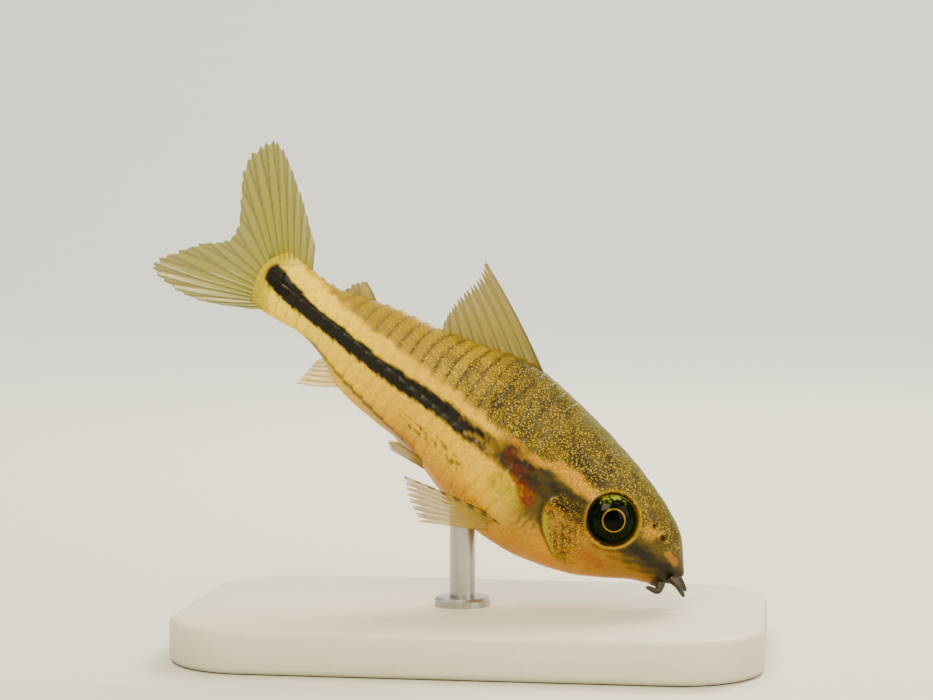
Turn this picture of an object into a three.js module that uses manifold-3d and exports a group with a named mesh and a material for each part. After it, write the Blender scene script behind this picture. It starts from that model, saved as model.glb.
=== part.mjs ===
// A pygmy corydoras catfish, life size, nose down over a plain display stand.
// Millimetres, +Z up. The origin is the middle of the stand's underside, and the fish faces +X.
// The fish's own sizes are hundredths of its standard length, the way fish are described:
// "at" runs back from the snout to the root of the tail fin, "up" runs up from the body's axis.
import * as THREE from 'three';
import { mergeVertices } from 'three/addons/utils/BufferGeometryUtils.js';
import Module from 'manifold-3d';

const wasm = await Module();
wasm.setup();

// Driving dimensions
const STANDARD_LENGTH = 24;
const PITCH = THREE.MathUtils.degToRad(36.3);
const GAP = 0.3;
const BASE = { length: 27, width: 16, height: 2, corner: 4, bevel: 0.3 };
const ROD = { radius: 0.6, footRadius: 1.3, footHeight: 0.5, at: 41, top: 9, sides: 20 };
// Where the tip of the snout stands from the middle of the stand's underside
const SNOUT = { ahead: 9.4, above: 3.2 };

const PCT = STANDARD_LENGTH / 100;
const RIGHT = -1;
const LEFT = 1;
const SIDES = [['right', RIGHT], ['left', LEFT]];

// The body's outline at a few stations: heights of the back, the belly and the widest level,
// half the width, and how square the section is above and below the widest level
const STATIONS = [
  { at: 0, back: 3.9, belly: -0.9, widest: 2.1, half: 2.6, above: 2.0, below: 2.0 },
  { at: 4, back: 7.4, belly: -3.0, widest: 1.9, half: 4.5, above: 2.0, below: 2.0 },
  { at: 8, back: 9.9, belly: -4.9, widest: 1.2, half: 6.3, above: 2.0, below: 2.1 },
  { at: 17.5, back: 13.4, belly: -10.7, widest: -1.5, half: 9.1, above: 2.0, below: 2.2 },
  { at: 27, back: 15.5, belly: -13.8, widest: -4.2, half: 10.9, above: 1.9, below: 2.3 },
  { at: 37, back: 16.9, belly: -14.9, widest: -5.0, half: 11.4, above: 1.8, below: 2.4 },
  { at: 48, back: 17.4, belly: -12.8, widest: -4.0, half: 10.5, above: 1.75, below: 2.3 },
  { at: 57, back: 14.7, belly: -10.4, widest: -2.0, half: 8.5, above: 1.8, below: 2.1 },
  { at: 66, back: 12.0, belly: -10.1, widest: -0.8, half: 6.5, above: 1.8, below: 2.0 },
  { at: 75, back: 10.1, belly: -9.3, widest: 0.2, half: 4.9, above: 1.8, below: 1.9 },
  { at: 81, back: 8.3, belly: -6.5, widest: 0.4, half: 3.9, above: 1.9, below: 1.9 },
  { at: 87, back: 6.3, belly: -5.2, widest: 0.3, half: 3.1, above: 2.0, below: 2.0 },
  { at: 94, back: 6.1, belly: -5.8, widest: 0.2, half: 2.4, above: 2.0, below: 2.0 },
  { at: 100, back: 6.8, belly: -6.4, widest: 0.2, half: 1.8, above: 2.0, below: 2.0 },
];
const NOSE = { round: 6, up: 2.1 };
const RING_POINTS = 28;
const RING_STEPS = { head: 2.5, behind: 5, from: 35 };

// Where the whole body is parted into head, trunk and tail
const NECK_CUT = { at: 34, lean: 0.25 };
const TAIL_CUT = { at: 75, lean: 0 };
const CUT_SHEET = { width: 20, height: 30 };

// What stands near the body keeps the gap from it, and this much more for the facets
const SLACK = 0.05;

const EYE = { at: 17.3, up: 3.8, radius: 5.0, depth: 3.6, bulge: 1.3, lean: 0.8, rings: 10 };
const EYE_RIM = { thick: 0.55, sides: 5, steps: 24 };
const EYE_GAP = 0.2;
const MOUTH = { at: 2.9, up: -1.3, width: 2.5, height: 1.5, lip: 0.9, faces: 62, open: 0.6 };
const LIPS = { sides: 8, steps: 18, full: 1.6 };
const NARE_RINGS = { rim: 6, pit: 4 };
const NARES = [
  { at: 7.6, up: 6.2, rim: 1.15, hole: 0.6, proud: 0.5 },
  { at: 10.2, up: 7.2, rim: 1.0, hole: 0.55, proud: 0.2 },
];
const GILL_COVER = {
  front: 20, up: 4.5, down: -8.6, reach: 10, low: 1.5, rise: 0.6, rows: 3, columns: 8,
};

// Two rows of bony plates down each flank, parted by the lateral line
const PLATES = { first: 34.6, last: 95, end: 98.5, count: 18, lap: 1.25, bulge: 1.2, points: 4, seed: 11 };
const PLATE_EDGE = { front: -0.3, rear: 0.62, sunk: -0.9, backTurn: 0.16, bellyTurn: 2.62 };
const LATERAL_LINE = 1.0;

// Fins, in millimetres through, and each from its root line to its edge line.
// A point is [at, up], and on the paired fins [at, up, out from the middle].
const FIN = { root: 0.5, tip: 0.28, rayRise: 0.14, rows: 4, valley: [0.33, 0.67], spineRun: 0.75 };
const MIDDLE_FINS = {
  dorsal_fin: {
    root: [[40, 14.5], [64, 9]],
    edge: [[66.9, 28], [66.4, 23.4], [67, 18.8], [66.3, 13.8]],
    rays: 9,
    bow: 0.8,
    spine: 0.22,
  },
  adipose_fin: {
    root: [[76, 6], [83.5, 4]],
    edge: [[83.2, 10.9], [85, 9.4], [85.6, 7]],
    rays: 3,
    bow: 0.6,
    spine: 0.1,
  },
  anal_fin: {
    root: [[73, -7], [80, -4.5]],
    edge: [[82.8, -13.6], [82.6, -10], [82, -7.6]],
    rays: 6,
    bow: 0.6,
  },
  caudal_fin: {
    root: [[91, 3], [98, 4], [99, 0.2], [98, -3.8], [93, -3]],
    edge: [[95.5, 10.4], [105, 17.8], [114.2, 22.6], [116.2, 15], [110, 3], [115, -3.6],
      [120, -12.2], [109.6, -12.6], [98.4, -7.2]],
    rays: 15,
    notch: 0.96,
  },
};
const PAIRED_FINS = {
  pectoral_fin: {
    root: [[31.5, -9.2, 8], [33, -11, 7.5]],
    edge: [[53.2, -11.2, 22], [51, -14.6, 18.5], [46.5, -18, 14]],
    rays: 8,
    bow: 0.8,
    spine: 0.16,
  },
  pelvic_fin: {
    root: [[48, -10, 4.4], [50, -10.6, 3.4]],
    edge: [[59.5, -9.6, 7], [61.2, -10.8, 5.4], [60, -12, 3.8]],
    rays: 6,
    bow: 0.4,
  },
};

// Barbels at each corner of the mouth: one feels forwards, one curls back. Radii in millimetres.
const BARBELS = {
  barbel_maxillary: [[1.6, 0.6, 2.6], [-0.2, 0.4, 3.4], [-2.4, -0.6, 3.6]],
  barbel_rictal: [[2.6, -1.4, 2.6], [2.4, -2.8, 3.4], [4.6, -3.4, 3.9]],
};
const BARBEL = { root: 0.22, tip: 0.12, sides: 8, steps: 7 };

// Smooth interpolation of one column of the stations
function along(key) {
  const slope = (i) => {
    const a = STATIONS[Math.max(i - 1, 0)];
    const b = STATIONS[Math.min(i + 1, STATIONS.length - 1)];
    return (b[key] - a[key]) / (b.at - a.at);
  };
  return (at) => {
    let i = STATIONS.findIndex((s) => s.at > at) - 1;
    if (i < 0) i = at <= 0 ? 0 : STATIONS.length - 2;
    const [a, b] = [STATIONS[i], STATIONS[i + 1]];
    const span = b.at - a.at;
    const t = THREE.MathUtils.clamp((at - a.at) / span, 0, 1);
    const [t2, t3] = [t * t, t * t * t];
    return (2 * t3 - 3 * t2 + 1) * a[key] + (t3 - 2 * t2 + t) * span * slope(i)
      + (3 * t2 - 2 * t3) * b[key] + (t3 - t2) * span * slope(i + 1);
  };
}
const outline = Object.fromEntries(
  ['back', 'belly', 'widest', 'half', 'above', 'below'].map((key) => [key, along(key)]),
);

// How far the rounding of the nose has opened, from 0 at the snout's tip to 1
function noseShare(at) {
  const t = THREE.MathUtils.clamp(at / NOSE.round, 0, 1);
  return Math.sqrt(1 - (1 - t) ** 2);
}

// The section at a station, in hundredths, after the rounding of the nose
function section(at) {
  const share = noseShare(at);
  const level = (key) => NOSE.up + (outline[key](at) - NOSE.up) * share;
  return {
    back: level('back'),
    belly: level('belly'),
    widest: level('widest'),
    half: outline.half(at) * share,
    above: outline.above(at),
    below: outline.below(at),
  };
}

// A point of the skin. turn goes from 0 at the back, round the left side, to PI at the belly.
// out is how far outside the skin it lies, in hundredths.
function skin(at, turn, out = 0) {
  const s = section(THREE.MathUtils.clamp(at, 0, 100));
  const [sin, cos] = [Math.sin(turn), Math.cos(turn)];
  const power = 2 / (cos > 0 ? s.above : s.below);
  const reach = cos > 0 ? s.back + out - s.widest : s.widest - s.belly + out;
  const y = Math.sign(sin) * Math.abs(sin) ** power * (s.half + out);
  const z = s.widest + Math.sign(cos) * Math.abs(cos) ** power * reach;
  return new THREE.Vector3(-at, y, z).multiplyScalar(PCT);
}

// The turn at which the skin reaches a given height, on the left side
function turnAt(at, up) {
  const s = section(at);
  const high = up > s.widest;
  const reach = high ? s.back - s.widest : s.widest - s.belly;
  const share = THREE.MathUtils.clamp(Math.abs(up - s.widest) / reach, 0, 1);
  const cos = share ** ((high ? s.above : s.below) / 2);
  return Math.acos(high ? cos : -cos);
}

const lateralTurn = (at) => turnAt(at, LATERAL_LINE);
const mirrored = (point, side) => point.setY(side * point.y);
const place = (at, up, y = 0) => new THREE.Vector3(-at, y, up).multiplyScalar(PCT);

// A closed mesh from points and triangles, turned to face outwards
function closed(points, triangles) {
  const position = new Float32Array(points.flatMap((p) => [p.x, p.y, p.z]));
  const volume = triangles.reduce((sum, [a, b, c]) => (
    sum + points[a].dot(new THREE.Vector3().crossVectors(points[b], points[c]))), 0);
  const index = triangles.flatMap(([a, b, c]) => (volume < 0 ? [a, c, b] : [a, b, c]));
  const geometry = new THREE.BufferGeometry();
  geometry.setAttribute('position', new THREE.BufferAttribute(position, 3));
  geometry.setIndex(index);
  return geometry;
}

function toSolid(geometry) {
  const bare = geometry.clone();
  ['normal', 'uv'].forEach((name) => bare.deleteAttribute(name));
  const merged = mergeVertices(bare, 1e-4);
  return new wasm.Manifold(new wasm.Mesh({
    numProp: 3,
    vertProperties: merged.attributes.position.array,
    triVerts: new Uint32Array(merged.index.array),
  }));
}

function toGeometry(solid) {
  const { vertProperties, triVerts, numProp } = solid.getMesh();
  const position = new Float32Array((vertProperties.length / numProp) * 3);
  for (let i = 0; i * numProp < vertProperties.length; i += 1) {
    position.set(vertProperties.subarray(i * numProp, i * numProp + 3), i * 3);
  }
  const geometry = new THREE.BufferGeometry();
  geometry.setAttribute('position', new THREE.BufferAttribute(position, 3));
  geometry.setIndex(new THREE.BufferAttribute(new Uint32Array(triVerts), 1));
  return geometry;
}

function joined(solids) {
  return solids.reduce((all, one) => all.add(one));
}

// The one body that a node keeps after its joins and cuts
function largest(solid) {
  return solid.decompose().reduce((best, one) => (one.volume() > best.volume() ? one : best));
}

// Rings of points, each with as many points, closed at both ends by a point
function lofted(rings, start, end) {
  const n = rings[0].length;
  const points = [start, ...rings.flat(), end];
  const triangles = [];
  for (let j = 0; j < n; j += 1) {
    const k = (j + 1) % n;
    triangles.push([0, 1 + k, 1 + j]);
    for (let i = 0; i + 1 < rings.length; i += 1) {
      const [a, b] = [1 + i * n + j, 1 + i * n + k];
      triangles.push([a, b, a + n], [b, b + n, a + n]);
    }
    const last = 1 + (rings.length - 1) * n;
    triangles.push([last + j, last + k, points.length - 1]);
  }
  return closed(points, triangles);
}

// Two facing grids of points, split alike and joined round their rims
function slab(outer, inner) {
  const [rows, cols] = [outer.length, outer[0].length];
  const points = [...outer.flat(), ...inner.flat()];
  const triangles = [];
  const far = rows * cols;
  for (let i = 0; i + 1 < rows; i += 1) {
    for (let j = 0; j + 1 < cols; j += 1) {
      const a = i * cols + j;
      triangles.push([a, a + cols, a + 1], [a + 1, a + cols, a + cols + 1]);
      triangles.push([far + a, far + a + 1, far + a + cols]);
      triangles.push([far + a + 1, far + a + cols + 1, far + a + cols]);
    }
  }
  const rim = [];
  for (let j = 0; j < cols; j += 1) rim.push(j);
  for (let i = 1; i < rows; i += 1) rim.push(i * cols + cols - 1);
  for (let j = cols - 2; j >= 0; j -= 1) rim.push((rows - 1) * cols + j);
  for (let i = rows - 2; i > 0; i -= 1) rim.push(i * cols);
  rim.forEach((a, n) => {
    const b = rim[(n + 1) % rim.length];
    triangles.push([a, b, far + a], [b, far + b, far + a]);
  });
  return closed(points, triangles);
}

// The whole body, or the same form grown outwards to cut what must stand clear of it
function bodyForm(out = 0) {
  const rings = [];
  const grown = out / PCT;
  const stops = [NOSE.round / 24, NOSE.round / 8, NOSE.round / 4];
  for (let at = RING_STEPS.head; at < RING_STEPS.from; at += RING_STEPS.head) stops.push(at);
  for (let at = RING_STEPS.from; at < 100; at += RING_STEPS.behind) stops.push(at);
  stops.push(100);
  for (const at of stops) {
    const ring = [];
    for (let j = 0; j < RING_POINTS; j += 1) {
      ring.push(skin(at, (j / RING_POINTS) * 2 * Math.PI, grown));
    }
    rings.push(ring);
  }
  const tail = rings[rings.length - 1].map((p) => p.clone().setX(p.x - out));
  if (out > 0) rings.push(tail);
  return toSolid(lofted(rings, place(-grown, NOSE.up), place(100 + grown, 0.2)));
}

// A flat cutting slab across the body, GAP thick, leaning back as it rises
function partingSlab({ at, lean }) {
  const cut = new THREE.BoxGeometry(GAP, CUT_SHEET.width, CUT_SHEET.height);
  cut.rotateY(-Math.atan(lean));
  cut.translate(-at * PCT, 0, 0);
  return toSolid(cut);
}

function ellipsoid(centre, [x, y, z], rings = EYE.rings, facing = new THREE.Vector3(0, 1, 0)) {
  const ball = new THREE.SphereGeometry(1, rings * 2, rings);
  ball.scale(x, y, z);
  return toSolid(seated(ball, centre, facing));
}

// Turns a form made round the Y axis to face a given way, and sets it at its centre
function seated(form, centre, facing) {
  form.applyQuaternion(new THREE.Quaternion().setFromUnitVectors(new THREE.Vector3(0, 1, 0), facing));
  return form.translate(centre.x, centre.y, centre.z);
}

// Where an eye sits on the skin, and the way it looks: outwards, and a little forwards and up
function eyeSeat(side) {
  const turn = turnAt(EYE.at, EYE.up);
  const behind = skin(EYE.at + 1, turn).sub(skin(EYE.at - 1, turn));
  const below = skin(EYE.at, turn + 0.1).sub(skin(EYE.at, turn - 0.1));
  const facing = mirrored(behind.cross(below).normalize(), side);
  const straight = new THREE.Vector3(0, Math.sign(facing.y), 0);
  return {
    centre: mirrored(skin(EYE.at, turn), side),
    facing: straight.lerp(facing, EYE.lean).multiplyScalar(Math.sign(facing.y) * side).normalize(),
  };
}

function eyeForm(side, grow = 0) {
  const { centre, facing } = eyeSeat(side);
  const depth = EYE.depth * PCT;
  const radius = EYE.radius * PCT + grow;
  centre.addScaledVector(facing, EYE.bulge * PCT - depth);
  return ellipsoid(centre, [radius, depth + grow, radius], EYE.rings, facing);
}

// The soft rim that stands a little proud round each eye
function eyeRim(side) {
  const { centre, facing } = eyeSeat(side);
  const { thick, sides, steps } = EYE_RIM;
  const ring = new THREE.TorusGeometry((EYE.radius + thick) * PCT + EYE_GAP, thick * PCT, sides, steps);
  ring.rotateX(Math.PI / 2);
  centre.addScaledVector(facing, -thick * PCT);
  return toSolid(seated(ring, centre, facing));
}

// Nostrils: a low round rim with a pit in it
function nareForms(side, { at, up, rim, hole, proud }) {
  const seat = mirrored(skin(at, turnAt(at, up), proud - rim), side);
  const pit = mirrored(skin(at, turnAt(at, up), proud), side);
  return {
    rim: ellipsoid(seat, [rim * PCT, rim * PCT, rim * PCT], NARE_RINGS.rim),
    pit: ellipsoid(pit, [hole * PCT, hole * PCT, hole * PCT], NARE_RINGS.pit),
  };
}

// A curved sheet on the skin, its far edge standing proud and its root sunk in the flesh.
// station gives how far back each point lies, and turn how far round the body.
function raisedSheet(side, { rows, columns, station, turn, height, sunk }) {
  const grid = (lift) => Array.from({ length: rows }, (_, i) => (
    Array.from({ length: columns }, (__, j) => {
      const [u, v] = [i / (rows - 1), j / (columns - 1)];
      const at = station(u, v);
      return mirrored(skin(at, turn(at, v), lift(u, v)), side);
    })));
  return toSolid(slab(grid(height), grid(() => sunk)));
}

// The gill cover, hinged before and free along its round rear edge
function gillCover(side) {
  const { front, up, down, reach, low, rise, rows, columns } = GILL_COVER;
  return raisedSheet(side, {
    rows,
    columns,
    station: (u, v) => front - low * v + u * reach * Math.sin(Math.PI * (0.12 + 0.83 * v)) ** 0.7,
    turn: (at, v) => THREE.MathUtils.lerp(turnAt(at, up), turnAt(at, down), v),
    height: (u) => THREE.MathUtils.lerp(PLATE_EDGE.front, rise, u ** 0.7),
    sunk: PLATE_EDGE.sunk,
  });
}

// One plate of a row. Its rear edge bulges tailwards and laps over the plate behind it.
function plate(side, from, to, start, length, rise) {
  return raisedSheet(side, {
    rows: 2,
    columns: PLATES.points,
    station: (u, v) => start + u * length + PLATES.bulge * (Math.sin(Math.PI * v) - 0.5),
    turn: (at, v) => THREE.MathUtils.lerp(from(at), to(at), v),
    height: (u) => THREE.MathUtils.lerp(PLATE_EDGE.front, rise, u),
    sunk: PLATE_EDGE.sunk,
  });
}

// A small seeded random draw between -1 and 1
function seeded(seed) {
  let state = seed;
  return () => {
    state = (state * 16807) % 2147483647;
    return (state / 2147483647) * 2 - 1;
  };
}

// All the plates of both flanks, each row from just behind the gill cover to the tail fin
function allPlates() {
  const pitch = (PLATES.last - PLATES.first) / PLATES.count;
  const plates = [];
  const rowsOf = [
    [() => PLATE_EDGE.backTurn, (at) => lateralTurn(at) + 0.02],
    [(at) => lateralTurn(at) - 0.02, () => PLATE_EDGE.bellyTurn],
  ];
  for (const [, side] of SIDES) {
    for (const [from, to] of rowsOf) {
      const draw = seeded(PLATES.seed);
      for (let i = 0; i < PLATES.count; i += 1) {
        const start = PLATES.first + pitch * (i + 0.06 * draw());
        const length = Math.min(pitch * PLATES.lap, PLATES.end - start);
        plates.push(plate(side, from, to, start, length, PLATE_EDGE.rear * (1 + 0.12 * draw())));
      }
    }
  }
  return plates;
}

// The small mouth is under the snout and faces down and forwards, with a ring of lips round it
function mouthFrame(shape) {
  shape.rotateY(THREE.MathUtils.degToRad(90 + MOUTH.faces));
  const centre = place(MOUTH.at, MOUTH.up);
  shape.translate(centre.x, centre.y, centre.z);
  return toSolid(shape);
}

function lips() {
  const ring = new THREE.TorusGeometry(1, MOUTH.lip / MOUTH.width, LIPS.sides, LIPS.steps);
  ring.scale(MOUTH.height * PCT, MOUTH.width * PCT, MOUTH.lip * PCT * LIPS.full);
  return mouthFrame(ring);
}

function mouthHole() {
  const hole = new THREE.SphereGeometry(1, LIPS.steps, LIPS.sides);
  const [long, wide] = [MOUTH.height, MOUTH.width].map((size) => size * MOUTH.open * PCT);
  hole.scale(long, wide, MOUTH.lip * 2 * PCT);
  return mouthFrame(hole);
}

// One closed tapering tube through a few points: a barbel
function feeler(path) {
  const { sides, steps } = BARBEL;
  const curve = new THREE.CatmullRomCurve3(path);
  const frames = curve.computeFrenetFrames(steps, false);
  const rings = [];
  for (let i = 0; i <= steps; i += 1) {
    const t = i / steps;
    const centre = curve.getPointAt(t);
    const r = THREE.MathUtils.lerp(BARBEL.root, BARBEL.tip, t);
    const ring = [];
    for (let j = 0; j < sides; j += 1) {
      const a = (j / sides) * 2 * Math.PI;
      ring.push(centre.clone()
        .addScaledVector(frames.normals[i], r * Math.cos(a))
        .addScaledVector(frames.binormals[i], r * Math.sin(a)));
    }
    rings.push(ring);
  }
  const end = curve.getPointAt(1).addScaledVector(curve.getTangentAt(1), BARBEL.tip);
  return toSolid(lofted(rings, curve.getPointAt(0), end));
}

// A fin as a fan of rays from its root line to its edge line, with the membrane between them.
// bow lifts the middle of each ray towards the leading edge, and spine makes the first ray stout.
function finForm({ root, edge, rays, bow = 0, spine = 0, notch = 0.9 }) {
  const rootLine = new THREE.CatmullRomCurve3(root);
  const edgeLine = new THREE.CatmullRomCurve3(edge);
  const normal = new THREE.Vector3().crossVectors(
    new THREE.Vector3().subVectors(edge[edge.length - 1], edge[0]),
    new THREE.Vector3().subVectors(edge[0], root[0]),
  ).normalize();
  const lead = new THREE.Vector3().subVectors(edge[0], edge[edge.length - 1]).normalize();
  const columns = [];
  for (let i = 0; i < rays; i += 1) {
    columns.push({ t: i / (rays - 1), ray: 1, spine: i === 0 ? spine : 0 });
    if (i === rays - 1) break;
    for (const part of FIN.valley) columns.push({ t: (i + part) / (rays - 1), ray: 0, spine: 0 });
  }
  const grid = (side) => columns.map(({ t, ray, spine: stout }) => {
    const from = rootLine.getPoint(t);
    const to = edgeLine.getPoint(t);
    const reach = ray ? 1 : notch;
    const column = [];
    for (let r = 0; r <= FIN.rows; r += 1) {
      const v = (r / FIN.rows) * reach;
      const thick = THREE.MathUtils.lerp(FIN.root, FIN.tip, v) / 2
        + ray * FIN.rayRise * (1 - 0.6 * v) + stout * Math.max(0, FIN.spineRun - v);
      column.push(from.clone().lerp(to, v)
        .addScaledVector(lead, bow * PCT * 4 * v * (1 - v) * (1 - t))
        .addScaledVector(normal, side * thick));
    }
    return column;
  });
  return toSolid(slab(grid(1), grid(-1)));
}

const paint = (color, roughness, metalness = 0) => (
  new THREE.MeshStandardMaterial({ color, roughness, metalness }));

// The body of flesh, parted into its three lengths
function fleshNodes() {
  const nares = SIDES.flatMap(([, side]) => NARES.map((nare) => nareForms(side, nare)));
  const raised = [
    bodyForm(),
    lips(),
    ...nares.map(({ rim }) => rim),
    ...SIDES.flatMap(([, side]) => [eyeRim(side), gillCover(side)]),
    ...allPlates(),
  ];
  const hollows = [
    mouthHole(),
    ...nares.map(({ pit }) => pit),
    ...SIDES.map(([, side]) => eyeForm(side, EYE_GAP)),
    partingSlab(NECK_CUT),
    partingSlab(TAIL_CUT),
  ];
  const pieces = hollows.reduce((solid, hollow) => solid.subtract(hollow), joined(raised))
    .decompose().sort((a, b) => b.volume() - a.volume());
  const [head, trunk, tail] = pieces.slice(0, 3)
    .sort((a, b) => b.boundingBox().max[0] - a.boundingBox().max[0]);
  return { head, trunk, tail };
}

const flesh = fleshNodes();
const clearOfBody = bodyForm(GAP + SLACK);
const clearOf = (solid) => largest(solid.subtract(clearOfBody));

// Every fin's form by its node's name, the paired ones once for each side
function allFins() {
  const forms = {};
  for (const [name, { root, edge, ...rest }] of Object.entries(MIDDLE_FINS)) {
    const [from, to] = [root, edge].map((line) => line.map(([at, up]) => place(at, up)));
    forms[name] = finForm({ root: from, edge: to, ...rest });
  }
  for (const [name, { root, edge, ...rest }] of Object.entries(PAIRED_FINS)) {
    for (const [word, side] of SIDES) {
      const [from, to] = [root, edge].map((line) => (
        line.map(([at, up, out]) => place(at, up, side * out))));
      forms[`${name}_${word}`] = finForm({ root: from, edge: to, ...rest });
    }
  }
  return forms;
}

const group = new THREE.Group();
const fish = new THREE.Group();
fish.rotation.y = PITCH;
fish.position.set(SNOUT.ahead, 0, SNOUT.above);
group.add(fish);
group.updateMatrixWorld(true);

function addNode(parent, name, solid, material) {
  const mesh = new THREE.Mesh(toGeometry(solid), material);
  mesh.name = name;
  parent.add(mesh);
  return mesh;
}

const skinPaint = paint(0x9a8838, 0.45);
const finPaint = paint(0xc9b85a, 0.4);
const eyePaint = paint(0x0c1208, 0.12);
const barbelPaint = paint(0x3a2c12, 0.5);

for (const [name, solid] of Object.entries(flesh)) addNode(fish, name, solid, skinPaint);
for (const [name, solid] of Object.entries(allFins())) addNode(fish, name, clearOf(solid), finPaint);
for (const [word, side] of SIDES) {
  addNode(fish, `eye_${word}`, eyeForm(side), eyePaint);
  for (const [name, path] of Object.entries(BARBELS)) {
    const points = path.map(([at, up, out]) => place(at, up, side * out));
    addNode(fish, `${name}_${word}`, feeler(points), barbelPaint);
  }
}

// The stand: a flat base with rounded corners, and one rod up to the belly
function standBase() {
  const [x, y, r] = [BASE.length / 2, BASE.width / 2, BASE.corner];
  const outline2d = new THREE.Shape();
  outline2d.absarc(x - r, y - r, r, 0, Math.PI / 2);
  outline2d.absarc(r - x, y - r, r, Math.PI / 2, Math.PI);
  outline2d.absarc(r - x, r - y, r, Math.PI, Math.PI * 1.5);
  outline2d.absarc(x - r, r - y, r, Math.PI * 1.5, Math.PI * 2);
  const plate = new THREE.ExtrudeGeometry(outline2d, {
    depth: BASE.height - BASE.bevel * 2,
    bevelThickness: BASE.bevel,
    bevelSize: BASE.bevel,
    bevelOffset: -BASE.bevel,
    bevelSegments: 1,
    curveSegments: 4,
  });
  plate.translate(0, 0, BASE.bevel);
  return toSolid(plate);
}

function standRod() {
  const belly = fish.localToWorld(place(ROD.at, outline.belly(ROD.at)));
  const profile = [
    [0, 0],
    [ROD.footRadius, 0],
    [ROD.footRadius, ROD.footHeight * 0.6],
    [ROD.radius, ROD.footHeight],
    [ROD.radius, ROD.top],
    [0, ROD.top],
  ].map(([r, z]) => new THREE.Vector2(r, z));
  const rod = new THREE.LatheGeometry(profile, ROD.sides);
  rod.rotateX(Math.PI / 2);
  rod.translate(belly.x, 0, BASE.height + GAP);
  const bodyInPlace = toGeometry(clearOfBody).applyMatrix4(fish.matrixWorld);
  return largest(toSolid(rod).subtract(toSolid(bodyInPlace)));
}

addNode(group, 'stand_base', standBase(), paint(0xd9d6cf, 0.6));
addNode(group, 'stand_rod', standRod(), paint(0xb9bcc0, 0.3, 0.9));

export default group;
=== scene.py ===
# A pygmy corydoras catfish, life size, shown nose down on a plain display stand.
# Metres throughout. The fish's own sizes are hundredths of its standard length: "at" runs back
# from the snout, "up" runs up from the axis of the body, and "out" runs away from the middle line.
import math

import bpy
import numpy as np
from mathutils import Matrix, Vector


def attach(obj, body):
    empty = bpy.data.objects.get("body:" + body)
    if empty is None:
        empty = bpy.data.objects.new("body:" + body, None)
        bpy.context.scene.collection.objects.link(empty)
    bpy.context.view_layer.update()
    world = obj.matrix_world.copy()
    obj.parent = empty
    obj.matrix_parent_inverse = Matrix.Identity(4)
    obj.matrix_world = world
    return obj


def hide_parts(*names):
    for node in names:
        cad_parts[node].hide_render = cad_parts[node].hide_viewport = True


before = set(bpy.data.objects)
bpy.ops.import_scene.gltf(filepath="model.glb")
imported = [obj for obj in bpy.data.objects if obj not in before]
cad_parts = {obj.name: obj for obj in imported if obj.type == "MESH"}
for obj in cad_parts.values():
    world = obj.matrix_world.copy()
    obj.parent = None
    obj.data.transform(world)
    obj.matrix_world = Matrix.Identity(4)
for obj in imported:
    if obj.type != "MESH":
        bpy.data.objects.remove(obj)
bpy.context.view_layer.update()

# The camera looks at the fish's right side, from a little before it and a little above, as the
# photograph does. The floor is plain and pale and bends up behind the fish into a sweep, and
# soft lamps light both.
STANDARD_LENGTH = 0.024
PART = STANDARD_LENGTH / 100
PITCH = math.radians(36.3)
SNOUT = np.array([0.0094, 0.0, 0.0032])


def fish_to_world(points):
    """Turns points given as (forward, left, up) in hundredths into the frame's metres."""
    points = np.asarray(points, dtype=float) * PART
    x, y, z = points[..., 0], points[..., 1], points[..., 2]
    cos, sin = math.cos(PITCH), math.sin(PITCH)
    return np.stack([x * cos + z * sin, y, z * cos - x * sin], axis=-1) + SNOUT


LOOK_AT = {"at": 59.5, "up": 11.9}
CAMERA_AZIMUTH = math.radians(8)
CAMERA_ELEVATION = math.radians(3.5)
CAMERA_DISTANCE = 0.110
VIEW_WIDTH = 0.0434

target = Vector(fish_to_world([-LOOK_AT["at"], 0, LOOK_AT["up"]]))
backwards = Vector((
    math.sin(CAMERA_AZIMUTH) * math.cos(CAMERA_ELEVATION),
    -math.cos(CAMERA_AZIMUTH) * math.cos(CAMERA_ELEVATION),
    math.sin(CAMERA_ELEVATION),
))
camera_data = bpy.data.cameras.new("camera")
camera = bpy.data.objects.new("camera", camera_data)
bpy.context.collection.objects.link(camera)
camera.location = target + backwards * CAMERA_DISTANCE
camera.rotation_euler = backwards.to_track_quat("Z", "Y").to_euler()
camera_data.lens = camera_data.sensor_width * CAMERA_DISTANCE / VIEW_WIDTH
camera_data.clip_start = 0.001
bpy.context.scene.camera = camera


class Wire:
    """A socket that sums can be written on, each adding its own Math node."""

    def __init__(self, finish, socket):
        self.finish = finish
        self.socket = socket

    def sum_with(self, operation, first, second):
        return self.finish.node("Math", {"operation": operation}, {0: first, 1: second})["Value"]

    def __add__(self, other):
        return self.sum_with("ADD", self, other)

    def __rsub__(self, other):
        return self.sum_with("SUBTRACT", other, self)

    def __mul__(self, other):
        return self.sum_with("MULTIPLY", self, other)


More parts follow.
